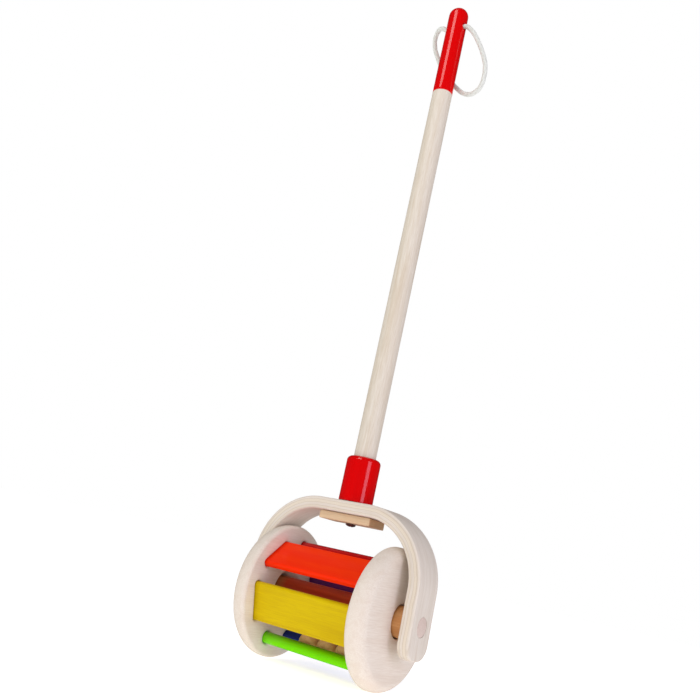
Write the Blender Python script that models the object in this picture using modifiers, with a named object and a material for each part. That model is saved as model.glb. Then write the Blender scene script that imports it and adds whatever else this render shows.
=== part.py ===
"""Wooden push-along roller toy: a cage roller on a bent plywood yoke, pushed with a long stick.

Metres, +Z up. The origin is on the floor, under the middle of the axle. The axle runs along X,
and -Y is the side that the child walks towards. The stick stands upright over the axle.
"""
import math

import bpy
from mathutils import Vector

# Driving dimensions, in metres.
GAP = 0.0003                 # left between pieces that touch
WHEEL_RADIUS = 0.0456
WHEEL_THICKNESS = 0.0135
WHEEL_OUTER_ROUNDING = 0.0085
WHEEL_INNER_ROUNDING = 0.0025
WHEEL_BORE_RADIUS = 0.011
COUNTERSINK_RADIUS = 0.0148
COUNTERSINK_DEPTH = 0.005
CAGE_HALF_SPACE = 0.0403     # half the distance between the wheels' inner faces
CAGE_SHIFT = -0.0012         # the cage stands a little to the left within its side play
CORE_RADIUS = 0.010

CAGE_TURN = math.radians(17.1)      # how far the cage's pattern is turned about the axle
SLAT_ANGLE = math.radians(33.3)     # a slat's angle from the pattern's front or back
SLAT_DISTANCE = 0.0334              # axle to a slat's outer face
SLAT_WIDTH = 0.0260
SLAT_THICKNESS = 0.005
SLAT_ROUNDING = 0.0016
DOWEL_DISTANCE = 0.0336             # axle to a dowel's centre
DOWEL_RADIUS = 0.0039
MORTISE_DEPTH = 0.006

BALL_RADIUS = 0.00735
BALL_PITCH = 0.0151
BALL_COUNT = 4

YOKE_HALF_WIDTH = 0.0685     # middle to a leg's outer face
YOKE_TOP = 0.0689            # axle to the yoke's upper face
YOKE_BEND_RADIUS = 0.048     # to the outer face
YOKE_THICKNESS = 0.0085
YOKE_DEPTH = 0.027           # along Y
YOKE_EDGE_ROUNDING = 0.0009
LEG_BELOW_AXLE = 0.021
LEG_CORNER_RADIUS = 0.0105
LEG_END_STEPS = 6            # steps round one corner of a leg's end

PLUG_RADIUS = 0.0063
PLUG_IN_CORE = 0.012
PLATE_SIZE = (0.042, 0.0204, 0.0055)
SCREW_RADIUS = 0.002
SCREW_HEAD_RADIUS = 0.0037
SCREW_HEAD_HEIGHT = 0.0019
SCREW_LENGTH = 0.050

COLLAR_RADIUS = 0.0122
COLLAR_LENGTH = 0.0322
STICK_RADIUS = 0.008
STICK_TOP = 0.4872           # axle to the stick's rounded top
ROPE_RADIUS = 0.0019
ROPE_HOLE_RADIUS = 0.0025
ROPE_HOLE_HEIGHT = 0.4692    # axle to the cross hole

# The rope's route in millimetres from the axle: out of the cross hole on the right, down and
# round behind the stick, and back into the hole from the left.
ROPE_ROUTE = [
    (0.3, 0, 469.2), (5, 0, 469.2), (9, 0, 469), (13, 0, 466), (18, 1, 460), (23, 3, 451),
    (27, 5, 442), (30, 7, 432), (30, 9, 422), (27, 11, 414), (20, 12, 410), (12, 12, 412),
    (4, 12, 419), (-4, 12, 428), (-12, 12, 438), (-18, 10, 450), (-22, 8, 460), (-22, 5, 468),
    (-18, 2, 473), (-13, 0, 472), (-9, 0, 469.4), (-5, 0, 469.2), (-0.3, 0, 469.2),
]
ROPE_POINTS = 56

STICK_BOTTOM = YOKE_TOP + GAP
YOKE_UNDERSIDE = YOKE_TOP - YOKE_THICKNESS
LEG_INNER_FACE = YOKE_HALF_WIDTH - YOKE_THICKNESS

for old in list(bpy.data.objects):
    bpy.data.objects.remove(old, do_unlink=True)

toy = bpy.data.collections.new("push_roller")
cutters = bpy.data.collections.new("cutters")
bpy.context.scene.collection.children.link(toy)
bpy.context.scene.collection.children.link(cutters)


def paint(name, colour, roughness, metallic=0.0):
    material = bpy.data.materials.new(name)
    material.use_nodes = True
    shader = material.node_tree.nodes["Principled BSDF"]
    shader.inputs["Base Color"].default_value = (*colour, 1.0)
    shader.inputs["Roughness"].default_value = roughness
    shader.inputs["Metallic"].default_value = metallic
    return material


BARE_WOOD = paint("bare_wood", (0.76, 0.68, 0.56), 0.6)
PLYWOOD = paint("plywood", (0.78, 0.71, 0.60), 0.6)
CORE_WOOD = paint("core_wood", (0.66, 0.43, 0.24), 0.6)
BALL_WOOD = paint("ball_wood", (0.62, 0.40, 0.16), 0.5)
RED = paint("red_lacquer", (0.68, 0.004, 0.008), 0.25)
ORANGE = paint("orange_stain", (0.87, 0.04, 0.004), 0.4)
YELLOW = paint("yellow_stain", (0.70, 0.48, 0.004), 0.4)
PURPLE = paint("purple_stain", (0.09, 0.012, 0.11), 0.4)
BLUE = paint("blue_stain", (0.01, 0.03, 0.20), 0.4)
GREEN = paint("green_lacquer", (0.12, 0.55, 0.004), 0.3)
STEEL = paint("screw_steel", (0.35, 0.30, 0.30), 0.35, 1.0)
ROPE = paint("cotton_rope", (0.72, 0.72, 0.68), 0.9)


def add(name, mesh, material=None, parent=None, location=(0, 0, 0), rotation=(0, 0, 0)):
    """An object of the toy, or a cutter where it has no material."""
    obj = bpy.data.objects.new(name, mesh)
    obj.parent = parent
    obj.location = location
    obj.rotation_euler = rotation
    if material:
        mesh.materials.append(material)
        toy.objects.link(obj)
    else:
        cutters.objects.link(obj)
        obj.hide_render = True
        obj.display_type = "WIRE"
    return obj


def mesh_from(name, vertices, edges=(), faces=()):
    mesh = bpy.data.meshes.new(name)
    mesh.from_pydata([tuple(v) for v in vertices], list(edges), list(faces))
    mesh.update()
    return mesh


def filleted(corners, segments=4):
    """An outline through corners (x, y, radius), each corner with a radius turned into an arc."""
    points = []
    for i, (x, y, radius) in enumerate(corners):
        here = Vector((x, y))
        if radius <= 0:
            points.append(here)
            continue
        before = Vector(corners[i - 1][:2]) - here
        after = Vector(corners[(i + 1) % len(corners)][:2]) - here
        half_angle = before.angle(after) / 2
        bisector = (before.normalized() + after.normalized()).normalized()
        centre = here + bisector * (radius / math.sin(half_angle))
        start = here + before.normalized() * (radius / math.tan(half_angle)) - centre
        end = here + after.normalized() * (radius / math.tan(half_angle)) - centre
        turn = start.angle_signed(end)
        for step in range(segments + 1):
            angle = -turn * step / segments
            turned_start = Vector((start.x * math.cos(angle) - start.y * math.sin(angle),
                                   start.x * math.sin(angle) + start.y * math.cos(angle)))
            points.append(centre + turned_start)
    return points


def turned(name, outline, steps, material=None, closed=False, **place):
    """A lathe shape about its own Z axis. The outline is (radius, height), top to bottom."""
    last = len(outline) if closed else len(outline) - 1
    edges = [(i, (i + 1) % len(outline)) for i in range(last)]
    mesh = mesh_from(name, [(r, 0, h) for r, h in outline], edges)
    obj = add(name, mesh, material, **place)
    screw = obj.modifiers.new("lathe", "SCREW")
    screw.steps = steps
    screw.render_steps = steps
    screw.use_merge_vertices = True
    screw.merge_threshold = 0.00001
    screw.use_smooth_shade = True
    return obj


def rod(name, radius, length, steps, material=None, rounding=0.0005, **place):
    """A turned rod, centred on its own origin, with softly rounded ends."""
    half = length / 2
    corners = [(0, half, 0), (radius, half, rounding), (radius, -half, rounding), (0, -half, 0)]
    return turned(name, filleted(corners, 2), steps, material, **place)


def smooth(obj, degrees=35):
    obj.data.shade_smooth()
    obj.data.set_sharp_from_angle(angle=math.radians(degrees))


def box(name, size, material=None, rounding=0.0, **place):
    x, y, z = (side / 2 for side in size)
    corners = [(sx * x, sy * y, sz * z) for sx in (-1, 1) for sy in (-1, 1) for sz in (-1, 1)]
    faces = [(0, 1, 3, 2), (4, 6, 7, 5), (0, 4, 5, 1), (2, 3, 7, 6), (0, 2, 6, 4), (1, 5, 7, 3)]
    obj = add(name, mesh_from(name, corners, faces=faces), material, **place)
    if rounding:
        soften(obj, rounding, 3)
    return obj


def soften(obj, width, segments):
    bevel = obj.modifiers.new("rounded_edges", "BEVEL")
    bevel.width = width
    bevel.segments = segments
    bevel.limit_method = "ANGLE"
    bevel.angle_limit = math.radians(40)


def cut(obj, cutter):
    boolean = obj.modifiers.new("cut_" + cutter.name, "BOOLEAN")
    boolean.operation = "DIFFERENCE"
    boolean.object = cutter
    boolean.solver = "EXACT"


def frame_empty(name, location):
    empty = bpy.data.objects.new(name, None)
    empty.location = location
    toy.objects.link(empty)
    return empty


ALONG_X = (0, math.radians(90), 0)
ALONG_MINUS_X = (0, math.radians(-90), 0)
frame = frame_empty("frame_on_axle", (0, 0, WHEEL_RADIUS))
roller = frame_empty("roller_on_axle", (CAGE_SHIFT, 0, WHEEL_RADIUS))


# ---- the roller: two wheels, four slats and two dowels ----

def around_axle(angle, distance):
    """A place in the roller, at an angle from the front towards the top."""
    return (0, -math.cos(angle) * distance, math.sin(angle) * distance)


def slat(name, angle, material=None, grow=0.0):
    reach = 2 * (CAGE_HALF_SPACE + MORTISE_DEPTH) - 2 * GAP
    size = (reach + 2 * grow, SLAT_WIDTH + 2 * grow, SLAT_THICKNESS + 2 * grow)
    return box(name, size, material, SLAT_ROUNDING + grow, parent=roller,
               location=around_axle(angle, SLAT_DISTANCE - SLAT_THICKNESS / 2),
               rotation=(math.pi / 2 - angle, 0, 0))


def dowel(name, angle, material=None, grow=0.0):
    reach = 2 * (CAGE_HALF_SPACE + MORTISE_DEPTH) - 2 * GAP
    return rod(name, DOWEL_RADIUS + grow, reach + 2 * grow, 20, material, parent=roller,
               location=around_axle(angle, DOWEL_DISTANCE), rotation=ALONG_X)


def build_roller():
    slats = {
        "yellow": (CAGE_TURN - SLAT_ANGLE, YELLOW),
        "orange": (CAGE_TURN + SLAT_ANGLE, ORANGE),
        "purple": (CAGE_TURN + math.pi - SLAT_ANGLE, PURPLE),
        "blue": (CAGE_TURN + math.pi + SLAT_ANGLE, BLUE),
    }
    dowels = {
        "red": (CAGE_TURN + math.pi / 2, RED),
        "green": (CAGE_TURN - math.pi / 2, GREEN),
    }
    sockets = []
    for colour, (angle, material) in slats.items():
        slat("slat_" + colour, angle, material)
        sockets.append(slat("mortise_" + colour, angle, grow=GAP))
    for colour, (angle, material) in dowels.items():
        smooth(dowel("dowel_" + colour, angle, material))
        sockets.append(dowel("socket_" + colour, angle, grow=GAP))
    for side, facing, sign in (("left", ALONG_MINUS_X, -1), ("right", ALONG_X, 1)):
        corners = [
            (WHEEL_BORE_RADIUS, WHEEL_THICKNESS, 0),
            (WHEEL_RADIUS, WHEEL_THICKNESS, WHEEL_OUTER_ROUNDING),
            (WHEEL_RADIUS, 0, WHEEL_INNER_ROUNDING),
            (COUNTERSINK_RADIUS, 0, 0),
            (WHEEL_BORE_RADIUS, COUNTERSINK_DEPTH, 0),
        ]
        wheel = turned("wheel_" + side, filleted(corners, 5), 60, BARE_WOOD, closed=True,
                       parent=roller, location=(sign * CAGE_HALF_SPACE, 0, 0), rotation=facing)
        for socket in sockets:
            cut(wheel, socket)
        smooth(wheel)


def ball_seat():
    """Where a ball lies, between the green dowel and the lower edge of the blue slat."""
    dowel_place = Vector(around_axle(CAGE_TURN - math.pi / 2, DOWEL_DISTANCE)).yz
    angle = CAGE_TURN + math.pi + SLAT_ANGLE
    outward = Vector((-math.cos(angle), math.sin(angle)))
    along = Vector((math.sin(angle), math.cos(angle)))
    edge_depth = SLAT_DISTANCE - SLAT_THICKNESS + SLAT_ROUNDING
    edge = outward * edge_depth + along * (SLAT_WIDTH / 2 - SLAT_ROUNDING)
    to_dowel = BALL_RADIUS + DOWEL_RADIUS + GAP
    to_edge = BALL_RADIUS + SLAT_ROUNDING + GAP
    span = edge - dowel_place
    along_span = (to_dowel ** 2 - to_edge ** 2 + span.length ** 2) / (2 * span.length)
    height = math.sqrt(to_dowel ** 2 - along_span ** 2)
    across = Vector((-span.y, span.x)).normalized()
    return dowel_place + span.normalized() * along_span + across * height


def build_balls():
    """Four loose balls lie in a row at the bottom of the cage, against the right wheel."""
    seat = ball_seat()
    first = CAGE_HALF_SPACE - GAP - BALL_RADIUS - BALL_PITCH * (BALL_COUNT - 1)
    half_circle = [(BALL_RADIUS * math.sin(math.pi * i / 12), BALL_RADIUS * math.cos(math.pi * i / 12))
                   for i in range(13)]
    half_circle[0] = (0, BALL_RADIUS)
    half_circle[-1] = (0, -BALL_RADIUS)
    for i in range(BALL_COUNT):
        smooth(turned("ball_%d" % (i + 1), half_circle, 20, BALL_WOOD, parent=roller,
                      location=(first + BALL_PITCH * i, seat.x, seat.y)))


# ---- the frame: core, plugs, yoke, plate, screw, collar, stick ----

def build_core_and_plugs():
    core_length = 2 * (LEG_INNER_FACE - GAP)
    core = rod("axle_core", CORE_RADIUS, core_length, 40, CORE_WOOD, parent=frame, rotation=ALONG_X)
    plug_start = LEG_INNER_FACE - GAP - PLUG_IN_CORE
    plug_length = YOKE_HALF_WIDTH - plug_start
    for side, sign in (("left", -1), ("right", 1)):
        middle = sign * (plug_start + plug_length / 2)
        smooth(rod("leg_plug_" + side, PLUG_RADIUS, plug_length, 28, BARE_WOOD, parent=frame,
                   location=(middle, 0, 0), rotation=ALONG_X))
        socket = rod("plug_hole_" + side, PLUG_RADIUS + GAP, PLUG_IN_CORE + 0.004, 28,
                     parent=frame, rotation=ALONG_X,
                     location=(sign * (plug_start - GAP + PLUG_IN_CORE / 2 + 0.002), 0, 0))
        cut(core, socket)
    smooth(core)


def yoke_stations():
    """Points (x, z, half depth) along the yoke's outer face, from the left leg's end over the top."""
    bend_x = YOKE_HALF_WIDTH - YOKE_BEND_RADIUS
    bend_z = YOKE_TOP - YOKE_BEND_RADIUS
    half = []
    for i in range(LEG_END_STEPS + 1):
        angle = math.pi / 2 * i / LEG_END_STEPS
        z = -LEG_BELOW_AXLE + LEG_CORNER_RADIUS * (1 - math.cos(angle))
        depth = YOKE_DEPTH / 2 - LEG_CORNER_RADIUS * (1 - math.sin(angle))
        half.append((-YOKE_HALF_WIDTH, z, depth))
    bend_steps = 18
    for i in range(bend_steps + 1):
        angle = math.pi / 2 * i / bend_steps
        x = -bend_x - YOKE_BEND_RADIUS * math.cos(angle)
        half.append((x, bend_z + YOKE_BEND_RADIUS * math.sin(angle), YOKE_DEPTH / 2))
    return half + [(-x, z, depth) for x, z, depth in reversed(half)]


def build_yoke():
    vertices = [(x, side * depth, z) for x, z, depth in yoke_stations() for side in (-1, 1)]
    count = len(vertices) // 2
    # One flat face for each leg's rounded end, and a four-sided face for every step between them.
    runs = [range(LEG_END_STEPS + 1), range(count - LEG_END_STEPS - 1, count)]
    runs += [(i, i + 1) for i in range(LEG_END_STEPS, count - LEG_END_STEPS - 1)]
    faces = [[2 * i for i in run] + [2 * i + 1 for i in reversed(run)] for run in runs]
    yoke = add("yoke", mesh_from("yoke", vertices, faces=faces), PLYWOOD, parent=frame)
    wall = yoke.modifiers.new("plywood_thickness", "SOLIDIFY")
    wall.thickness = YOKE_THICKNESS
    wall.offset = -1
    wall.use_even_offset = True
    soften(yoke, YOKE_EDGE_ROUNDING, 2)
    smooth(yoke)
    for side, sign in (("left", -1), ("right", 1)):
        cut(yoke, rod("leg_hole_" + side, PLUG_RADIUS + GAP, 0.03, 28, parent=frame,
                      location=(sign * YOKE_HALF_WIDTH, 0, 0), rotation=ALONG_X))
    return yoke


def build_plate_and_screw(yoke):
    plate_middle = YOKE_UNDERSIDE - GAP - PLATE_SIZE[2] / 2
    plate = box("clamp_plate", PLATE_SIZE, CORE_WOOD, 0.0006, parent=frame,
                location=(0, 0, plate_middle))
    head_top = plate_middle - PLATE_SIZE[2] / 2 - GAP
    tip = head_top + SCREW_LENGTH
    shank = SCREW_RADIUS
    dome = [(SCREW_HEAD_RADIUS * math.cos(a), head_top - SCREW_HEAD_HEIGHT * math.sin(a))
            for a in (0, math.pi / 8, math.pi / 4, 3 * math.pi / 8)]
    outline = [(0, tip), (shank * 0.6, tip - 0.003), (shank, tip - 0.007), (shank, head_top)]
    outline += dome + [(0, head_top - SCREW_HEAD_HEIGHT)]
    screw = turned("clamp_screw", outline, 20, STEEL, parent=frame)
    for turn in (0, math.pi / 2):
        cut(screw, box("drive_slot_%d" % (turn > 0), (0.0045, 0.0009, 0.0024), parent=frame,
                       location=(0, 0, head_top - SCREW_HEAD_HEIGHT), rotation=(0, 0, turn)))
    smooth(screw)
    pilot = rod("screw_hole", SCREW_RADIUS + GAP, SCREW_LENGTH + 0.006, 20, parent=frame,
                rounding=0.0002, location=(0, 0, head_top + SCREW_LENGTH / 2 - 0.0024))
    cut(plate, pilot)
    cut(yoke, pilot)
    return pilot


def build_collar_and_stick(pilot):
    base = YOKE_TOP + GAP
    top = base + COLLAR_LENGTH
    bore = STICK_RADIUS + GAP
    corners = [(bore, top, 0), (COLLAR_RADIUS, top, 0.0036), (COLLAR_RADIUS, base, 0.0005),
               (bore, base, 0)]
    smooth(turned("collar", filleted(corners, 5), 40, RED, closed=True, parent=frame))
    corners = [(0, STICK_TOP, 0), (STICK_RADIUS, STICK_TOP, 0.0066),
               (STICK_RADIUS, STICK_BOTTOM, 0.0005), (0, STICK_BOTTOM, 0)]
    stick = turned("stick", filleted(corners, 7), 36, BARE_WOOD, parent=frame)
    cut(stick, pilot)
    cut(stick, rod("rope_hole", ROPE_HOLE_RADIUS, 4 * STICK_RADIUS, 20, parent=frame,
                   location=(0, 0, ROPE_HOLE_HEIGHT), rotation=ALONG_X))
    smooth(stick)


# ---- the hanging rope ----

def smooth_route(points, count):
    """Evenly spaced points on one smooth curve through the given points."""
    points = [Vector(p) for p in points]
    padded = [2 * points[0] - points[1]] + points + [2 * points[-1] - points[-2]]
    dense = []
    for a, b, c, d in zip(padded, padded[1:], padded[2:], padded[3:]):
        for step in range(20):
            t = step / 20
            dense.append(0.5 * (2 * b + (c - a) * t + (2 * a - 5 * b + 4 * c - d) * t ** 2
                                + (3 * b - a - 3 * c + d) * t ** 3))
    dense.append(points[-1])
    distances = [0.0]
    for here, there in zip(dense, dense[1:]):
        distances.append(distances[-1] + (there - here).length)
    even = []
    k = 0
    for i in range(count):
        target = distances[-1] * i / (count - 1)
        while k < len(dense) - 2 and distances[k + 1] < target:
            k += 1
        share = (target - distances[k]) / (distances[k + 1] - distances[k])
        even.append(dense[k].lerp(dense[k + 1], share))
    return even


def build_rope():
    route = [Vector(p) / 1000 for p in ROPE_ROUTE]
    points = smooth_route(route, ROPE_POINTS)
    curve = bpy.data.curves.new("hang_rope", "CURVE")
    curve.dimensions = "3D"
    curve.bevel_depth = ROPE_RADIUS
    curve.bevel_resolution = 2
    curve.use_fill_caps = True
    spline = curve.splines.new("POLY")
    spline.points.add(len(points) - 1)
    for target, point in zip(spline.points, points):
        target.co = (*point, 1)
    rope = bpy.data.objects.new("hang_rope", curve)
    rope.parent = frame
    curve.materials.append(ROPE)
    toy.objects.link(rope)


build_roller()
build_balls()
build_core_and_plugs()
screw_hole = build_plate_and_screw(build_yoke())
build_collar_and_stick(screw_hole)
build_rope()
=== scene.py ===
"""The looks of the wooden push-along roller toy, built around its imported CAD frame.

Metres, in the row frame: origin on the floor under the axle, X along the axle, Z up the stick.
"""
import math

import bpy
from mathutils import Matrix, Vector


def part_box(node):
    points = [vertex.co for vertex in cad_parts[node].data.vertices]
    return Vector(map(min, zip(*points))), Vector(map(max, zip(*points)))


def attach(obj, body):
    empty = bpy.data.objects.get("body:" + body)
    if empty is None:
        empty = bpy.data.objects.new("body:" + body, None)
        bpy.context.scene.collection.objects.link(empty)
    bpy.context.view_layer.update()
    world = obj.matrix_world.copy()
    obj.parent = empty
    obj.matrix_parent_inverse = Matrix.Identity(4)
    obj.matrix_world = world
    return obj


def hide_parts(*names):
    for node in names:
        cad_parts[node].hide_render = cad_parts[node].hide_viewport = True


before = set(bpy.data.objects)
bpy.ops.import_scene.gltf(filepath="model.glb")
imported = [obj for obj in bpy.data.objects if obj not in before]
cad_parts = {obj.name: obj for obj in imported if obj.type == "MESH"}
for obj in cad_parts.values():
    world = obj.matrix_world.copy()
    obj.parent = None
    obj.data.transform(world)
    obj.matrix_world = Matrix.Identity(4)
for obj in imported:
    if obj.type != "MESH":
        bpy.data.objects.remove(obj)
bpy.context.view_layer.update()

MM = 0.001
AXLE = Vector((0, 0, 45.6)) * MM         # the middle of the axle, over the floor

# The same sizes as in the CAD, in millimetres.
GAP = 0.3
WHEEL_R, WHEEL_T, BORE_R = 45.6, 13.5, 11.0
HALF_SPACE, CAGE_SHIFT = 40.3, -1.2
CAGE_TURN, SLAT_ANGLE = math.radians(17.1), math.radians(33.3)
SLAT_OUT, SLAT_W, SLAT_T, SLAT_ROUND = 33.4, 26.0, 5.0, 1.8
DOWEL_OUT, DOWEL_R, MORTISE = 33.6, 3.9, 6.0
BALL_R = 7.35
YOKE_X, YOKE_Z, YOKE_BEND, YOKE_T, YOKE_Y = 68.5, 68.9, 48.0, 8.5, 13.5
LEG_END, LEG_CORNER = 21.0, 10.5
COLLAR_R, COLLAR_L = 12.2, 32.2
STICK_R, STICK_TOP, PAINT_LINE = 8.0, 487.2, 404.5
CORE_R, PLUG_R = 10.0, 6.3
ROPE_R, ROPE_HOLE_Z = 1.9, 469.2

# The camera: its place in millimetres from the axle, its turn in radians, its lens.
CAMERA_PLACE = (299.61, -463.84, 31.78)
CAMERA_AZIMUTH, CAMERA_ELEVATION, CAMERA_ROLL = 0.6232, -0.2579, -0.2225
CAMERA_LENS, CAMERA_SENSOR = 39.596, 36.0

# Brightness of the room: what lights the toy, what gloss mirrors, and the floor likewise.
FILL_LIGHT, MIRRORED_LIGHT = 0.44, 0.03
FLOOR_GLOW, MIRRORED_FLOOR_GLOW = 0.66, 0.03


# ---- camera ----

def place_camera():
    """The camera stands low in front, to the right, looks up a little and is rolled."""
    azimuth, elevation, roll = CAMERA_AZIMUTH, CAMERA_ELEVATION, CAMERA_ROLL
    look = Vector((-math.sin(azimuth) * math.cos(elevation),
                   math.cos(azimuth) * math.cos(elevation), -math.sin(elevation)))
    right = Vector((math.cos(azimuth), math.sin(azimuth), 0))
    down = look.cross(right)
    rolled_right = math.cos(roll) * right + math.sin(roll) * down
    rolled_down = -math.sin(roll) * right + math.cos(roll) * down
    camera = bpy.data.objects.new("photo_camera", bpy.data.cameras.new("photo_camera"))
    camera.data.sensor_width = CAMERA_SENSOR
    camera.data.lens = CAMERA_LENS
    camera.data.clip_start = 0.01
    camera.data.clip_end = 50.0
    turn = Matrix((rolled_right, -rolled_down, -look)).transposed().to_4x4()
    camera.matrix_world = Matrix.Translation(AXLE + Vector(CAMERA_PLACE) * MM) @ turn
    bpy.context.scene.collection.objects.link(camera)
    bpy.context.scene.camera = camera


place_camera()


# ---- small node language for materials ----

class Nodes:
    """Adds nodes to one material and links them."""

    def __init__(self, name, **sockets):
        self.material = bpy.data.materials.new(name)
        self.material.use_nodes = True
        self.tree = self.material.node_tree
        self.shader = self.tree.nodes["Principled BSDF"]
        for socket, value in sockets.items():
            self.shader.inputs[socket.replace("_", " ")].default_value = value

    def add(self, kind, inputs=(), **settings):
        node = self.tree.nodes.new(kind)
        for key, value in settings.items():
            setattr(node, key, value)
        for key, value in dict(inputs).items():
            self.feed(node.inputs[key], value)
        return node

    def feed(self, socket, value):
        if isinstance(value, bpy.types.NodeSocket):
            self.tree.links.new(value, socket)
        else:
            socket.default_value = value

    def math(self, operation, a, b=0.0, clamp=False):
        node = self.add("ShaderNodeMath", {0: a, 1: b}, operation=operation, use_clamp=clamp)
        return node.outputs[0]

    def coordinates(self, scale=(1, 1, 1), turn=(0, 0, 0), source=None):
        """Object coordinates in millimetres, scaled on top of that."""
        if source is None:
            source = self.add("ShaderNodeTexCoord").outputs["Object"]
        scale = [1000 * s for s in scale]
        node = self.add("ShaderNodeMapping", {"Vector": source, "Scale": scale, "Rotation": turn})
        return node.outputs["Vector"]

    def noise(self, vector, scale, detail=4.0, roughness=0.55, distortion=0.0):
        node = self.add("ShaderNodeTexNoise", {
            "Vector": vector, "Scale": scale, "Detail": detail, "Roughness": roughness,
            "Distortion": distortion})
        return node.outputs["Fac"]

    def ramp(self, value, stops, interpolation="LINEAR"):
        node = self.add("ShaderNodeValToRGB", {"Fac": value})
        node.color_ramp.interpolation = interpolation
        elements = node.color_ramp.elements
        while len(elements) < len(stops):
            elements.new(0.5)
        for element, (place, colour) in zip(elements, stops):
            element.position = place
            element.color = (*colour, 1.0) if len(colour) == 3 else colour
        return node.outputs["Color"]

    def mix(self, factor, a, b, blend="MIX"):
        node = self.add("ShaderNodeMix", data_type="RGBA", blend_type=blend)
        self.feed(node.inputs["Factor"], factor)
        self.feed(node.inputs[6], a if not isinstance(a, tuple) else (*a, 1.0))
        self.feed(node.inputs[7], b if not isinstance(b, tuple) else (*b, 1.0))
        return node.outputs[2]

    def grey(self, value, low, high, out_low=0.0, out_high=1.0):
        node = self.add("ShaderNodeMapRange", {
            "Value": value, "From Min": low, "From Max": high, "To Min": out_low,
            "To Max": out_high})
        return node.outputs["Result"]

    def bump(self, height, distance, strength=1.0, under=None):
        node = self.add("ShaderNodeBump", {
            "Height": height, "Distance": distance, "Strength": strength})
        if under is not None:
            self.tree.links.new(under, node.inputs["Normal"])
        return node.outputs["Normal"]

    def finish(self, colour, roughness=None, normal=None):
        self.feed(self.shader.inputs["Base Color"], colour)
        if roughness is not None:
            self.feed(self.shader.inputs["Roughness"], roughness)
        if normal is not None:
            self.feed(self.shader.inputs["Normal"], normal)
        return self.material


def linear(r, g, b):
    """An sRGB colour out of 255 as the linear values that shaders take."""
    return tuple((c / 255 / 12.92) if c / 255 <= 0.04045 else ((c / 255 + 0.055) / 1.055) ** 2.4
                 for c in (r, g, b))


def grain(n, along, seed=0.0):
    """Shared wood figure: long soft bands, fine fibres and short pores, each from 0 to 1."""
    across, length = 1.0, 0.045
    scale = [across, across, across]
    scale[along] = length
    shifted = n.add("ShaderNodeVectorMath", {
        0: n.add("ShaderNodeTexCoord").outputs["Object"], 1: (seed, seed * 0.37, seed * 0.71)},
        operation="ADD").outputs[0]
    base = n.coordinates(scale, source=shifted)
    bands = n.noise(base, 0.16, 2.0, 0.5, 0.6)
    fibres = n.noise(base, 1.9, 4.0, 0.65)
    scale[along] = 0.16
    pores = n.noise(n.coordinates(scale, source=shifted), 3.2, 2.0, 0.5)
    return bands, fibres, pores


def bare_wood(name, light, middle, dark, along=2, seed=0.0, roughness=0.55, half=None):
    """Sanded pale hardwood: soft bands, fine fibres and small darker flecks along the grain.

    Past half, in metres along the grain, comes the darker end grain."""
    n = Nodes(name, Coat_Weight=0.08, Coat_Roughness=0.35, Specular_IOR_Level=0.35)
    bands, fibres, pores = grain(n, along, seed)
    ground = n.ramp(bands, [(0.30, middle), (0.52, light), (0.72, middle)])
    figured = n.mix(n.grey(fibres, 0.35, 0.75, 0.0, 0.55), ground, dark)
    flecks = n.grey(pores, 0.66, 0.76, 0.0, 0.45)
    colour = n.mix(flecks, figured, dark)
    if half:
        place = n.add("ShaderNodeSeparateXYZ", {0: n.add("ShaderNodeTexCoord").outputs["Object"]})
        ends = n.grey(n.math("ABSOLUTE", place.outputs[along]), half, half + 0.0002, 0.0, 0.75)
        colour = n.mix(ends, colour, dark)
    rough = n.grey(fibres, 0.3, 0.7, roughness - 0.06, roughness + 0.08)
    normal = n.bump(fibres, 0.00006, 0.5)
    normal = n.bump(pores, 0.00004, 0.4, normal)
    return n.finish(colour, rough, normal)


def core_wood(name):
    """Raw dowel wood, painted darker and warmer than its own tone as shade and warm bounce light,
    and redder between the wheels as painted red bounce light from the stained bars.
    """
    n = Nodes(name, Coat_Weight=0.08, Coat_Roughness=0.4, Specular_IOR_Level=0.25)
    bands, fibres, pores = grain(n, 2, 0.13)
    place = n.add("ShaderNodeSeparateXYZ", {0: n.add("ShaderNodeTexCoord").outputs["Object"]})
    # Mask for the core's middle between the wheels, where the painted red bounce light from the
    # slats goes.
    inside = n.grey(n.math("ABSOLUTE", place.outputs[2]), 0.043, 0.037)
    # End and middle colours: painted shade and warm bounce light on the wood, the middle ones
    # redder as painted red bounce.
    light = n.mix(inside, linear(216, 158, 100), linear(226, 110, 58))
    deep = n.mix(inside, linear(188, 122, 66), linear(192, 78, 38))
    ground = n.mix(n.grey(bands, 0.35, 0.68), light, deep)
    figured = n.mix(n.grey(fibres, 0.38, 0.74, 0.0, 0.6), ground, deep)
    colour = n.mix(n.grey(pores, 0.66, 0.76, 0.0, 0.5), figured, linear(110, 56, 30))
    return n.finish(colour, n.grey(fibres, 0.3, 0.7, 0.45, 0.6), n.bump(fibres, 0.00006, 0.5))


def stained_wood(name, bright, deep, along=2, seed=0.0, figure=0.4):
    """Coloured stain under clear lacquer: the grain shows through as deeper streaks."""
    n = Nodes(name, Coat_Weight=0.2, Coat_Roughness=0.2, Specular_IOR_Level=0.04)
    bands, fibres, pores = grain(n, along, seed)
    ground = n.mix(n.grey(bands, 0.35, 0.68, 0.0, figure), bright, deep)
    figured = n.mix(n.grey(fibres, 0.42, 0.74, 0.0, figure), ground, deep)
    colour = n.mix(n.grey(pores, 0.66, 0.76, 0.0, figure), figured, deep)
    rough = n.grey(fibres, 0.3, 0.7, 0.36, 0.50)
    normal = n.bump(fibres, 0.00005, 0.45)
    return n.finish(colour, rough, normal)


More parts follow.
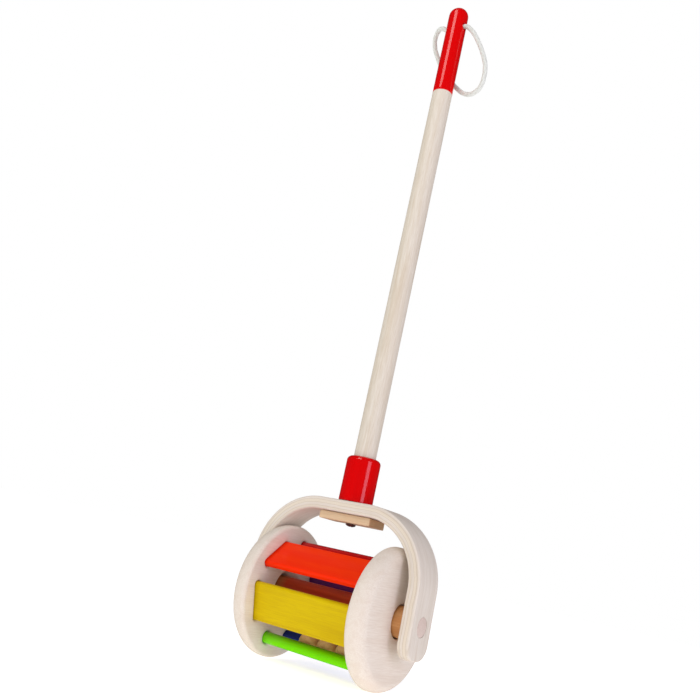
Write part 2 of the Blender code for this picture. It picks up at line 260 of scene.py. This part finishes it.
def gloss_paint(name, colour, deep, seed=0.0):
    """Opaque gloss lacquer on turned wood: faint fibres and brush softness under a clear coat."""
    n = Nodes(name, Coat_Weight=0.75, Coat_Roughness=0.09, Specular_IOR_Level=0.02)
    bands, fibres, _ = grain(n, 2, seed)
    mottled = n.mix(n.grey(bands, 0.35, 0.7, 0.0, 0.35), colour, deep)
    shade = n.mix(n.grey(fibres, 0.4, 0.75, 0.0, 0.18), mottled, deep)
    peel = n.noise(n.coordinates((1, 1, 1)), 0.9, 2.0, 0.5)
    rough = n.grey(fibres, 0.3, 0.7, 0.30, 0.40)
    normal = n.bump(fibres, 0.00002, 0.3)
    normal = n.bump(peel, 0.00003, 0.2, normal)
    return n.finish(shade, rough, normal)


def plywood(name):
    """Bent plywood: veneer grain on the broad faces, plies and glue lines on the edges.

    The depth under the outer face and the way along the strip both follow the bend."""
    n = Nodes(name, Coat_Weight=0.06, Coat_Roughness=0.35, Specular_IOR_Level=0.35)
    place = n.add("ShaderNodeSeparateXYZ", {0: n.add("ShaderNodeTexCoord").outputs["Object"]})
    x = n.math("MULTIPLY", n.math("ABSOLUTE", place.outputs[0]), 1000.0)
    y = n.math("MULTIPLY", place.outputs[1], 1000.0)
    z = n.math("MULTIPLY", place.outputs[2], 1000.0)
    bend_x, bend_z = YOKE_X - YOKE_BEND, YOKE_Z - YOKE_BEND
    qx = n.math("MAXIMUM", n.math("SUBTRACT", x, bend_x), 0.0)
    qz = n.math("MAXIMUM", n.math("SUBTRACT", z, bend_z), 0.0)
    radius = n.math("SQRT", n.math("ADD", n.math("MULTIPLY", qx, qx), n.math("MULTIPLY", qz, qz)))
    depth = n.math("SUBTRACT", YOKE_BEND, radius)
    turn = n.math("MULTIPLY", n.math("ARCTAN2", qx, qz), YOKE_BEND)
    along = n.math("ADD", n.math("MINIMUM", x, bend_x), turn)
    along = n.math("ADD", along, n.math("MAXIMUM", n.math("SUBTRACT", bend_z, z), 0.0))
    side = n.math("MULTIPLY", n.math("SIGN", place.outputs[0]), along)
    wobble = n.noise(n.add("ShaderNodeCombineXYZ", {0: side, 1: y, 2: 0.0}).outputs[0], 0.09, 2.0)
    depth = n.math("ADD", depth, n.grey(wobble, 0.3, 0.7, -0.18, 0.18))
    ply = YOKE_T / 4
    layer = n.math("DIVIDE", depth, ply)
    in_layer = n.math("FRACT", layer)
    edge = n.math("ABSOLUTE", n.math("SUBTRACT", in_layer, 0.5))
    glue = n.grey(edge, 0.405, 0.475)
    # The outer and inner faces are no glue lines.
    inside = n.math("MULTIPLY", n.grey(depth, 0.9, 1.3), n.grey(depth, YOKE_T - 0.9, YOKE_T - 1.3))
    glue = n.math("MULTIPLY", glue, inside, clamp=True)
    odd = n.math("GREATER_THAN", n.math("FRACT", n.math("MULTIPLY", layer, 0.5)), 0.5)
    veneer = n.add("ShaderNodeCombineXYZ", {
        0: n.math("MULTIPLY", side, 0.05), 1: y, 2: n.math("MULTIPLY", depth, 1.6)}).outputs[0]
    streaks = n.noise(veneer, 1.5, 4.0, 0.62)
    bands = n.noise(veneer, 0.20, 2.0, 0.5, 0.5)
    face = n.ramp(bands, [(0.30, linear(219, 208, 195)), (0.5, linear(228, 219, 208)),
                          (0.72, linear(216, 203, 188))])
    face = n.mix(n.grey(streaks, 0.38, 0.76, 0.0, 0.45), face, linear(205, 188, 165))
    end_grain = n.add("ShaderNodeCombineXYZ", {
        0: n.math("MULTIPLY", side, 0.6), 1: n.math("MULTIPLY", y, 0.5),
        2: n.math("MULTIPLY", depth, 1.4)}).outputs[0]
    specks = n.noise(end_grain, 2.2, 3.0, 0.6)
    cross = n.mix(n.grey(specks, 0.4, 0.72, 0.0, 0.5), linear(231, 219, 198),
                  linear(204, 186, 158))
    inner_ply = n.math("MULTIPLY", odd, inside, clamp=True)
    colour = n.mix(n.math("MULTIPLY", inner_ply, 0.55), face, cross)
    colour = n.mix(n.math("MULTIPLY", glue, 0.5), colour, linear(178, 154, 122))
    rough = n.grey(streaks, 0.3, 0.7, 0.50, 0.64)
    normal = n.bump(streaks, 0.00005, 0.5)
    normal = n.bump(n.math("SUBTRACT", 1.0, glue), 0.00008, 0.5, normal)
    return n.finish(colour, rough, normal)


def rope_cotton(name):
    n = Nodes(name, Sheen_Weight=0.35, Sheen_Roughness=0.5, Specular_IOR_Level=0.2)
    yarn = n.noise(n.coordinates((1, 1, 0.35)), 1.6, 3.0, 0.6)
    fuzz = n.noise(n.coordinates((1, 1, 1)), 0.5, 2.0)
    colour = n.mix(n.grey(yarn, 0.35, 0.7), linear(210, 212, 206), linear(226, 228, 222))
    colour = n.mix(n.grey(fuzz, 0.35, 0.7, 0.0, 0.3), colour, linear(210, 208, 198))
    # The grooves between the strands get painted shade: the cord is darkened where its surface lies
    # deep.
    painted_groove_shade = n.add("ShaderNodeAttribute", attribute_name="groove_shade").outputs["Fac"]
    colour = n.mix(n.grey(painted_groove_shade, 0.0, 1.0, 0.0, 0.25), colour, linear(168, 164, 152))
    normal = n.bump(yarn, 0.00008, 0.4)
    return n.finish(colour, n.grey(yarn, 0.3, 0.7, 0.8, 0.95), normal)


def plated_steel(name):
    n = Nodes(name, Metallic=1.0)
    brushed = n.noise(n.coordinates((1, 1, 0.1)), 4.0, 3.0, 0.6)
    spots = n.noise(n.coordinates((1, 1, 1)), 0.9, 3.0)
    colour = n.mix(n.grey(spots, 0.35, 0.7), linear(150, 138, 134), linear(112, 98, 98))
    return n.finish(colour, n.grey(brushed, 0.3, 0.7, 0.28, 0.42), n.bump(brushed, 0.00002, 0.4))


WHEEL_WOOD = bare_wood("wheel_beech", linear(236, 226, 214), linear(230, 217, 203),
                       linear(208, 190, 172), along=1, seed=0.31)
STICK_WOOD = bare_wood("stick_maple", linear(224, 216, 203), linear(214, 202, 184),
                       linear(188, 168, 142), along=2, seed=0.77)
CORE_WOOD = core_wood("core_dowel")
PLATE_WOOD = bare_wood("clamp_plate_wood", linear(228, 202, 166), linear(216, 186, 146),
                       linear(190, 150, 106), along=0, seed=0.53, half=0.0206)
PLUG_WOOD = bare_wood("plug_end_grain", linear(224, 205, 194), linear(215, 194, 182),
                      linear(190, 164, 148), along=2, seed=0.91)
# The balls' yellow-tan tone is partly their wood and partly painted yellow bounce light from the
# yellow slat.
BALL_WOOD = bare_wood("ball_wood", linear(244, 210, 140), linear(230, 192, 122),
                      linear(170, 128, 78), along=0, seed=0.23)
PLYWOOD = plywood("bent_birch_ply")
RED = gloss_paint("red_lacquer", linear(216, 0, 2), linear(196, 0, 3), seed=0.11)
RED_DOWEL = gloss_paint("red_dowel_paint", linear(212, 4, 14), linear(180, 0, 12), seed=0.43)
GREEN = gloss_paint("green_dowel_paint", linear(124, 232, 0), linear(102, 212, 0), seed=0.67)
ORANGE = stained_wood("orange_slat_stain", linear(255, 56, 0), linear(248, 32, 0), 0, 0.19, 0.5)
YELLOW = stained_wood("yellow_slat_stain", linear(218, 190, 0), linear(194, 158, 0), 0, 0.59, 0.65)
PURPLE = stained_wood("purple_slat_stain", linear(104, 48, 118), linear(74, 26, 88), 0, 0.83)
BLUE = stained_wood("blue_slat_stain", linear(42, 62, 150), linear(24, 36, 112), 0, 0.37)
STEEL = plated_steel("plated_screw")
COTTON = rope_cotton("braided_cotton")


# ---- mesh helpers: sizes in millimetres, about each piece's own origin ----

def filleted(corners, segments=8):
    """An outline through corners (x, y, radius), each corner with a radius turned into an arc."""
    points = []
    for i, (x, y, radius) in enumerate(corners):
        here = Vector((x, y))
        if radius <= 0:
            points.append(here)
            continue
        before = (Vector(corners[i - 1][:2]) - here).normalized()
        after = (Vector(corners[(i + 1) % len(corners)][:2]) - here).normalized()
        half_angle = before.angle(after) / 2
        centre = here + (before + after).normalized() * (radius / math.sin(half_angle))
        start = here + before * (radius / math.tan(half_angle)) - centre
        turn = start.angle_signed(here + after * (radius / math.tan(half_angle)) - centre)
        for step in range(segments + 1):
            a = -turn * step / segments
            points.append(centre + Vector((start.x * math.cos(a) - start.y * math.sin(a),
                                           start.x * math.sin(a) + start.y * math.cos(a))))
    return points


def make(name, vertices, faces, materials, matrix=Matrix(), sharp=38):
    """A smooth-shaded piece from millimetre vertices, placed in the row frame."""
    mesh = bpy.data.meshes.new(name)
    mesh.from_pydata([tuple(c * MM for c in v) for v in vertices], [], faces)
    for material in materials:
        mesh.materials.append(material)
    mesh.update()
    piece = bpy.data.objects.new(name, mesh)
    piece.matrix_world = matrix
    bpy.context.scene.collection.objects.link(piece)
    shade(piece, sharp)
    return piece


def shade(piece, sharp=38):
    piece.data.shade_smooth()
    piece.data.set_sharp_from_angle(angle=math.radians(sharp))


def lathe(name, outline, steps, materials, matrix=Matrix(), closed=False, second_from=None):
    """A turned shape about Z. The outline is (radius, height), from the top down its outer side."""
    rings, vertices, faces = [], [], []
    for r, h in outline:
        if r < 1e-6:
            rings.append([len(vertices)])
            vertices.append((0, 0, h))
            continue
        rings.append(list(range(len(vertices), len(vertices) + steps)))
        for i in range(steps):
            a = 2 * math.pi * i / steps
            vertices.append((r * math.cos(a), r * math.sin(a), h))
    pairs = list(zip(rings, rings[1:]))
    if closed:
        pairs.append((rings[-1], rings[0]))
    for upper, lower in pairs:
        for i in range(steps):
            j = (i + 1) % steps
            if len(upper) == 1:
                faces.append((upper[0], lower[i], lower[j]))
            elif len(lower) == 1:
                faces.append((upper[i], lower[0], upper[j]))
            else:
                faces.append((upper[i], lower[i], lower[j], upper[j]))
    piece = make(name, vertices, faces, materials, matrix)
    if second_from is not None:
        for polygon in piece.data.polygons:
            if polygon.center.z > second_from * MM:
                polygon.material_index = 1
    return piece


def loft(name, sections, materials, matrix=Matrix(), sharp=38):
    """A closed body through equal rings of points, with flat ends."""
    count = len(sections[0])
    vertices = [p for section in sections for p in section]
    faces = [tuple(reversed(range(count)))]
    for s in range(len(sections) - 1):
        for i in range(count):
            j = (i + 1) % count
            faces.append((s * count + i, s * count + j, (s + 1) * count + j, (s + 1) * count + i))
    faces.append(tuple(range((len(sections) - 1) * count, len(sections) * count)))
    return make(name, vertices, faces, materials, matrix, sharp)


def rounded_section(x, width, thickness, radius, segments=6):
    """A rounded rectangle across X, as (x, y, z) points."""
    w, t = width / 2, thickness / 2
    corners = [(-w, -t, radius), (w, -t, radius), (w, t, radius), (-w, t, radius)]
    return [(x, p.x, p.y) for p in filleted(corners, segments)]


def baked(piece, sharp=38):
    """Turns the piece's modifiers into its mesh."""
    bpy.context.view_layer.update()
    graph = bpy.context.evaluated_depsgraph_get()
    mesh = bpy.data.meshes.new_from_object(piece.evaluated_get(graph))
    piece.modifiers.clear()
    piece.data = mesh
    shade(piece, sharp)
    return piece


def carve(piece, cutters, sharp=38):
    """Cuts every cutter out of the piece, and removes the cutters."""
    for cutter in cutters:
        cut = piece.modifiers.new(cutter.name, "BOOLEAN")
        cut.operation = "DIFFERENCE"
        cut.solver = "EXACT"
        cut.object = cutter
    baked(piece, sharp)
    for cutter in cutters:
        bpy.data.objects.remove(cutter)
    return piece


def stand_for(piece, node, body):
    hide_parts(node)
    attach(piece, body)
    return piece


def at(x, y, z, rotation=Matrix()):
    """A place in millimetres from the axle's middle."""
    return Matrix.Translation(AXLE + Vector((x, y, z)) * MM) @ rotation


ALONG_X = Matrix.Rotation(math.radians(90), 4, "Y")
ALONG_MINUS_X = Matrix.Rotation(math.radians(-90), 4, "Y")


# ---- the hanging rope ----

# The same points as in the CAD, in millimetres from the axle.
ROPE_ROUTE = [
    (0.3, 0, 469.2), (5, 0, 469.2), (9, 0, 469), (13, 0, 466), (18, 1, 460), (23, 3, 451),
    (27, 5, 442), (30, 7, 432), (30, 9, 422), (27, 11, 414), (20, 12, 410), (12, 12, 412),
    (4, 12, 419), (-4, 12, 428), (-12, 12, 438), (-18, 10, 450), (-22, 8, 460), (-22, 5, 468),
    (-18, 2, 473), (-13, 0, 472), (-9, 0, 469.4), (-5, 0, 469.2), (-0.3, 0, 469.2),
]


def smooth_route(points, spacing):
    """Evenly spaced points on one smooth curve through the given points, and its length."""
    points = [Vector(p) for p in points]
    padded = [2 * points[0] - points[1]] + points + [2 * points[-1] - points[-2]]
    dense = []
    for a, b, c, d in zip(padded, padded[1:], padded[2:], padded[3:]):
        for step in range(20):
            t = step / 20
            dense.append(0.5 * (2 * b + (c - a) * t + (2 * a - 5 * b + 4 * c - d) * t ** 2
                                + (3 * b - a - 3 * c + d) * t ** 3))
    dense.append(points[-1])
    distances = [0.0]
    for here, there in zip(dense, dense[1:]):
        distances.append(distances[-1] + (there - here).length)
    count = round(distances[-1] / spacing) + 1
    even, k = [], 0
    for i in range(count):
        target = distances[-1] * i / (count - 1)
        while k < len(dense) - 2 and distances[k + 1] < target:
            k += 1
        share = (target - distances[k]) / (distances[k + 1] - distances[k])
        even.append(dense[k].lerp(dense[k + 1], share))
    return even, distances[-1]


def build_rope():
    """A braided cord: four strands wind each way and pass over and under one another."""
    line, length = smooth_route(ROPE_ROUTE, 0.4)
    sides, strands, lay = 32, 4, 2 * math.pi / 7.0
    vertices, groove_shade_values = [], []
    across = Vector((0, 0, 1))
    for i, centre in enumerate(line):
        ahead = (line[min(i + 1, len(line) - 1)] - line[max(i - 1, 0)]).normalized()
        across = (across - ahead * across.dot(ahead)).normalized()
        beside = ahead.cross(across)
        way = length * i / (len(line) - 1)
        for k in range(sides):
            a = 2 * math.pi * k / sides
            one = math.cos(strands * a + lay * way)
            other = math.cos(strands * a - lay * way)
            over = 0.5 + 0.5 * math.cos(strands * a) * math.cos(lay * way)
            height = max(one * (0.55 + 0.45 * over), other * (1.0 - 0.45 * over))
            r = ROPE_R - 0.02 + 0.06 * height
            vertices.append(AXLE / MM + centre + (across * math.cos(a) + beside * math.sin(a)) * r)
            # How deep the surface lies here, the mask for the painted shade in the rope's grooves.
            groove_shade_values.append(max(0.0, 0.75 - height))
    faces = [tuple(reversed(range(sides)))]
    for i in range(len(line) - 1):
        for k in range(sides):
            j = (k + 1) % sides
            low, high = i * sides, (i + 1) * sides
            faces.append((low + k, low + j, high + j, high + k))
    faces.append(tuple(range((len(line) - 1) * sides, len(line) * sides)))
    rope = make("braided_hang_rope", vertices, faces, [COTTON], sharp=80)
    groove_shade = rope.data.attributes.new("groove_shade", "FLOAT", "POINT")
    groove_shade.data.foreach_set("value", groove_shade_values)
    stand_for(rope, "hang_rope", "frame")


build_rope()


# ---- the roller ----

def around(angle, distance):
    """(y, z) in the roller, at an angle from the front towards the top."""
    return -math.cos(angle) * distance, math.sin(angle) * distance


def slat_matrix(angle):
    y, z = around(angle, SLAT_OUT - SLAT_T / 2)
    return at(CAGE_SHIFT, y, z, Matrix.Rotation(math.pi / 2 - angle, 4, "X"))


def dowel_matrix(angle):
    return at(CAGE_SHIFT, *around(angle, DOWEL_OUT), ALONG_X)


SLATS = {
    "orange": (CAGE_TURN + SLAT_ANGLE, ORANGE, "orange_stain"),
    "yellow": (CAGE_TURN - SLAT_ANGLE, YELLOW, "yellow_stain"),
    "purple": (CAGE_TURN + math.pi - SLAT_ANGLE, PURPLE, "purple_stain"),
    "blue": (CAGE_TURN + math.pi + SLAT_ANGLE, BLUE, "blue_stain"),
}
DOWELS = {
    "red": (CAGE_TURN + math.pi / 2, RED_DOWEL, "red_lacquer"),
    "green": (CAGE_TURN - math.pi / 2, GREEN, "green_lacquer"),
}


def socket_cutter(name, matrix, section, sign):
    """A socket in one wheel's inner face, with its mouth eased by a fine chamfer."""
    face = HALF_SPACE
    stations = [(face + MORTISE, 0.25), (face + 1.5, 0.25), (face + 0.75, 0.6),
                (face + 0.3, 1.2), (face + 0.06, 2.0), (face, 2.6), (face - 0.5, 5.0)]
    if sign > 0:
        stations.reverse()
    return loft(name, [section(sign * x, grow) for x, grow in stations], [WHEEL_WOOD], matrix)


def wheel_outline():
    """The section of a disc wheel: a broad pebble edge outside, a small one inside."""
    outline = [(BORE_R, WHEEL_T - 0.8)]
    outline += [(BORE_R + 0.8 * (1 - math.cos(a)), WHEEL_T - 0.8 * (1 - math.sin(a)))
                for a in (math.pi / 8, math.pi / 4, 3 * math.pi / 8, math.pi / 2)]
    axial, radial, steps = 9.9, 7.7, 16
    for i in range(steps + 1):
        a = math.pi / 2 * i / steps
        outline.append((WHEEL_R - radial * (1 - math.sin(a)), WHEEL_T - axial * (1 - math.cos(a))))
    for i in range(9):
        a = math.pi / 2 * i / 8
        outline.append((WHEEL_R - 2.5 * (1 - math.cos(a)), 2.5 * (1 - math.sin(a))))
    outline += [(15.6, 0.0), (15.0, 0.12), (14.5, 0.5), (12.0, 3.9), (11.3, 4.7), (BORE_R, 5.4)]
    return outline


def build_wheels():
    for side, sign, facing in (("left", -1, ALONG_MINUS_X), ("right", 1, ALONG_X)):
        place = at(CAGE_SHIFT + sign * HALF_SPACE, 0, 0, facing)
        wheel = lathe(side + "_disc_wheel", wheel_outline(), 144, [WHEEL_WOOD], place, closed=True)
        cutters = []
        for colour, (angle, _, _) in SLATS.items():
            cutters.append(socket_cutter("cut_" + colour, slat_matrix(angle), lambda x, grow:
                           rounded_section(x, SLAT_W + 2 * grow, SLAT_T + 2 * grow,
                                           SLAT_ROUND + grow, 5), sign))
        for colour, (angle, _, _) in DOWELS.items():
            y, z = around(angle, DOWEL_OUT)
            cutters.append(socket_cutter("cut_" + colour, at(CAGE_SHIFT, y, z), lambda x, grow:
                           [(x, (DOWEL_R + grow) * math.cos(2 * math.pi * k / 28),
                             (DOWEL_R + grow) * math.sin(2 * math.pi * k / 28))
                            for k in range(28)], sign))
        carve(wheel, cutters, 30)
        stand_for(wheel, "wheel_" + side, "roller")


def build_slats_and_dowels():
    reach = HALF_SPACE + MORTISE - 0.6
    for colour, (angle, material, slot) in SLATS.items():
        stations = [(-reach, 0.7), (-reach + 0.7, 0.0), (reach - 0.7, 0.0), (reach, 0.7)]
        sections = [rounded_section(x, SLAT_W - 2 * ease, SLAT_T - 2 * ease, SLAT_ROUND, 8)
                    for x, ease in stations]
        slat = loft(colour + "_slat", sections, [material], slat_matrix(angle))
        stand_for(slat, "slat_" + colour, "roller")
    for colour, (angle, material, slot) in DOWELS.items():
        corners = [(0, reach, 0), (DOWEL_R, reach, 0.7), (DOWEL_R, -reach, 0.7), (0, -reach, 0)]
        rod = lathe(colour + "_dowel", filleted(corners, 4), 40, [material], dowel_matrix(angle))
        stand_for(rod, "dowel_" + colour, "roller")


def build_balls():
    steps = 20
    outline = [(BALL_R * math.sin(math.pi * i / steps), BALL_R * math.cos(math.pi * i / steps))
               for i in range(steps + 1)]
    outline[0] = (0, BALL_R)
    outline[-1] = (0, -BALL_R)
    for i in range(4):
        low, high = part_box("ball_%d" % (i + 1))
        turn = Matrix.Rotation(0.7 + 1.3 * i, 4, Vector((0.4, 0.7, 0.2 * i + 0.3)))
        place = Matrix.Translation((low + high) / 2) @ turn
        ball = lathe("wooden_ball_%d" % (i + 1), outline, 40, [BALL_WOOD], place)
        stand_for(ball, "ball_%d" % (i + 1), "ball_%d" % (i + 1))


# ---- the frame ----

def build_core_and_plugs():
    half = YOKE_X - YOKE_T - GAP
    corners = [(0, half, 0), (CORE_R, half, 0.6), (CORE_R, -half, 0.6), (0, -half, 0)]
    core = lathe("axle_core_dowel", filleted(corners, 4), 64, [CORE_WOOD], at(0, 0, 0, ALONG_X))
    stand_for(core, "axle_core", "frame")
    for side, sign, facing in (("left", -1, ALONG_MINUS_X), ("right", 1, ALONG_X)):
        corners = [(0, 0, 0), (PLUG_R, 0, 0.35), (PLUG_R, -YOKE_T, 0), (0, -YOKE_T, 0)]
        plug = lathe(side + "_leg_plug", filleted(corners, 4), 48, [PLUG_WOOD],
                     at(sign * YOKE_X, 0, 0, facing))
        stand_for(plug, "leg_plug_" + side, "frame")


def yoke_stations(bend_steps=40, corner_steps=12):
    """Points (x, z, half depth) along the outer face, from the left leg's end over the top."""
    half = []
    for i in range(corner_steps + 1):
        a = math.pi / 2 * i / corner_steps
        half.append((-YOKE_X, -LEG_END + LEG_CORNER * (1 - math.cos(a)),
                     YOKE_Y - LEG_CORNER * (1 - math.sin(a))))
    for i in range(bend_steps + 1):
        a = math.pi / 2 * i / bend_steps
        half.append((-(YOKE_X - YOKE_BEND) - YOKE_BEND * math.cos(a),
                     YOKE_Z - YOKE_BEND + YOKE_BEND * math.sin(a), YOKE_Y))
    return half + [(-x, z, depth) for x, z, depth in reversed(half)], corner_steps


def build_yoke():
    stations, end = yoke_stations()
    vertices = [(x, side * depth, z) for x, z, depth in stations for side in (-1, 1)]
    last = len(stations)
    runs = [range(end + 1), range(last - end - 1, last)]
    runs += [(i, i + 1) for i in range(end, last - end - 1)]
    faces = [tuple([2 * i for i in run] + [2 * i + 1 for i in reversed(run)]) for run in runs]
    yoke = make("bent_ply_yoke", vertices, faces, [PLYWOOD], at(0, 0, 0))
    wall = yoke.modifiers.new("thickness", "SOLIDIFY")
    wall.thickness = YOKE_T * MM
    wall.offset = -1
    wall.use_even_offset = True
    edge = yoke.modifiers.new("eased_edges", "BEVEL")
    edge.width = 1.1 * MM
    edge.segments = 5
    edge.limit_method = "ANGLE"
    edge.angle_limit = math.radians(40)
    baked(yoke)
    holes = [lathe("plug_hole", [(0, 20), (PLUG_R + 0.12, 20), (PLUG_R + 0.12, -20), (0, -20)], 48,
                   [PLYWOOD], at(sign * YOKE_X, 0, 0, ALONG_X)) for sign in (-1, 1)]
    holes.append(lathe("screw_hole", [(0, 90), (2.3, 90), (2.3, 40), (0, 40)], 24, [PLYWOOD],
                       at(0, 0, 0)))
    carve(yoke, holes, 30)
    stand_for(yoke, "yoke", "frame")


def build_plate_and_screw():
    top = YOKE_Z - YOKE_T - GAP
    wide, deep, thick = 42.0, 20.4, 5.5
    stations = [(-wide / 2, 0.5), (-wide / 2 + 0.15, 0.22), (-wide / 2 + 0.5, 0.0),
                (wide / 2 - 0.5, 0.0), (wide / 2 - 0.15, 0.22), (wide / 2, 0.5)]
    sections = [rounded_section(x, deep - 2 * ease, thick - 2 * ease, 0.5, 4)
                for x, ease in stations]
    plate = loft("screw_clamp_plate", sections, [PLATE_WOOD], at(0, 0, top - thick / 2))
    hole = lathe("plate_hole", [(0, 6), (2.3, 6), (2.3, -6), (0, -6)], 24, [PLATE_WOOD],
                 at(0, 0, top - thick / 2))
    carve(plate, [hole], 30)
    stand_for(plate, "clamp_plate", "frame")
    under = top - thick - GAP
    outline = [(0, under + 50), (1.2, under + 47), (2.0, under + 43), (2.0, under), (3.3, under)]
    outline += [(3.7 * math.cos(a), under - 0.25 - 1.65 * math.sin(a))
                for a in [math.pi / 2 * i / 8 for i in range(8)]]
    outline.append((0, under - 1.9))
    screw = lathe("cross_head_screw", outline, 40, [STEEL], at(0, 0, 0))
    slots = []
    for k in (0, 1):
        section = [rounded_section(x, 0.95, 2.6, 0.2, 2) for x in (-2.1, 2.1)]
        slots.append(loft("drive_%d" % k, section, [STEEL],
                          at(0, 0, under - 1.9, Matrix.Rotation(0.4 + k * math.pi / 2, 4, "Z"))))
    carve(screw, slots, 30)
    stand_for(screw, "clamp_screw", "frame")


def build_collar_and_stick():
    base, top = YOKE_Z + GAP, YOKE_Z + GAP + COLLAR_L
    bore = STICK_R + 0.15
    corners = [(bore, top, 0.5), (COLLAR_R, top, 3.4), (COLLAR_R, base, 0.6), (bore, base, 0)]
    collar = lathe("red_collar", filleted(corners, 12), 96, [RED], at(0, 0, 0), closed=True)
    stand_for(collar, "collar", "frame")
    coat = 0.06
    dome = [((STICK_R + coat) * math.sin(a) ** 0.92, STICK_TOP - 7.2 * (1 - math.cos(a)))
            for a in [math.pi / 2 * i / 14 for i in range(15)]]
    dome[0] = (0, STICK_TOP)
    outline = dome + [(STICK_R + coat, z) for z in (460, 440, 420)]
    outline += [(STICK_R + coat, PAINT_LINE + 0.12), (STICK_R + 0.02, PAINT_LINE),
                (STICK_R, PAINT_LINE - 0.1), (STICK_R, 380), (STICK_R, 300), (STICK_R, 200),
                (STICK_R, 110), (STICK_R, base + 0.6), (STICK_R - 0.6, base), (0, base)]
    stick = lathe("long_push_stick", outline, 72, [STICK_WOOD, RED], at(0, 0, 0),
                  second_from=PAINT_LINE)
    mouth = STICK_R + 2
    corners = [(0, mouth), (3.6, mouth), (3.35, STICK_R), (2.7, STICK_R - 1.0), (2.45, 5.5),
               (2.45, -5.5), (2.7, 1.0 - STICK_R), (3.35, -STICK_R), (3.6, -mouth), (0, -mouth)]
    hole = lathe("rope_hole", corners, 40, [STICK_WOOD, RED], at(0, 0, ROPE_HOLE_Z, ALONG_X))
    for polygon in hole.data.polygons:
        polygon.material_index = 1
    carve(stick, [hole], 30)
    stand_for(stick, "stick", "frame")


build_wheels()
build_slats_and_dowels()
build_balls()
build_core_and_plugs()
build_yoke()
build_plate_and_screw()
build_collar_and_stick()


# ---- floor and light ----

def build_floor():
    n = Nodes("pale_floor", Roughness=0.9, Specular_IOR_Level=0.0)
    dust = n.noise(n.coordinates((1, 1, 1)), 0.004, 2.0)
    colour = n.mix(n.grey(dust, 0.3, 0.7), (0.86, 0.86, 0.86), (0.89, 0.89, 0.885))
    mirrored = n.add("ShaderNodeLightPath").outputs["Is Glossy Ray"]
    colour = n.mix(mirrored, colour, (0.12, 0.12, 0.12))
    n.shader.inputs["Emission Color"].default_value = (1.0, 1.0, 1.0, 1.0)
    glow = n.grey(mirrored, 0.0, 1.0, FLOOR_GLOW, MIRRORED_FLOOR_GLOW)
    n.feed(n.shader.inputs["Emission Strength"], glow)
    half = 6000
    corners = [(-half, -half, 0), (half, -half, 0), (half, half, 0), (-half, half, 0)]
    floor = make("pale_floor", corners, [(0, 1, 2, 3)], [n.finish(colour)],
                 Matrix.Translation((0, 0, -0.0002)))


def soft_light(name, azimuth, elevation, distance, size, power, colour):
    """A softbox round the toy. Azimuth is from -Y towards +X; it looks at the cage."""
    a, e = math.radians(azimuth), math.radians(elevation)
    target = Vector((0, 0, 0.15))
    away = Vector((math.sin(a) * math.cos(e), -math.cos(a) * math.cos(e), math.sin(e)))
    light = bpy.data.lights.new(name, "AREA")
    light.shape = "RECTANGLE"
    light.size, light.size_y = size
    light.energy = power
    light.color = colour
    lamp = bpy.data.objects.new(name, light)
    lamp.matrix_world = (Matrix.Translation(target + away * distance)
                         @ away.to_track_quat("Z", "Y").to_matrix().to_4x4())
    bpy.context.scene.collection.objects.link(lamp)


def build_world():
    """The camera sees plain white, the toy is lit by soft grey, and gloss mirrors a dim room."""
    world = bpy.data.worlds.new("studio")
    world.use_nodes = True
    tree = world.node_tree
    fill = tree.nodes["Background"]
    fill.inputs["Color"].default_value = (0.96, 0.97, 1.0, 1.0)
    fill.inputs["Strength"].default_value = FILL_LIGHT
    mirrored = tree.nodes.new("ShaderNodeBackground")
    mirrored.inputs["Color"].default_value = (0.96, 0.97, 1.0, 1.0)
    mirrored.inputs["Strength"].default_value = MIRRORED_LIGHT
    seen = tree.nodes.new("ShaderNodeBackground")
    seen.inputs["Color"].default_value = (1.0, 1.0, 1.0, 1.0)
    seen.inputs["Strength"].default_value = 1.0
    path = tree.nodes.new("ShaderNodeLightPath")
    soft = tree.nodes.new("ShaderNodeMixShader")
    mix = tree.nodes.new("ShaderNodeMixShader")
    tree.links.new(path.outputs["Is Glossy Ray"], soft.inputs[0])
    tree.links.new(fill.outputs[0], soft.inputs[1])
    tree.links.new(mirrored.outputs[0], soft.inputs[2])
    tree.links.new(path.outputs["Is Camera Ray"], mix.inputs[0])
    tree.links.new(soft.outputs[0], mix.inputs[1])
    tree.links.new(seen.outputs[0], mix.inputs[2])
    tree.links.new(mix.outputs[0], tree.nodes["World Output"].inputs["Surface"])
    bpy.context.scene.world = world


build_floor()
build_world()
soft_light("high_front_softbox", -8, 42, 2.6, (1.0, 1.5), 22, (1.0, 0.98, 0.94))
soft_light("low_right_softbox", 74, 7, 1.8, (0.7, 1.1), 9, (0.86, 0.78, 1.0))
bpy.context.scene.view_settings.view_transform = "Standard"
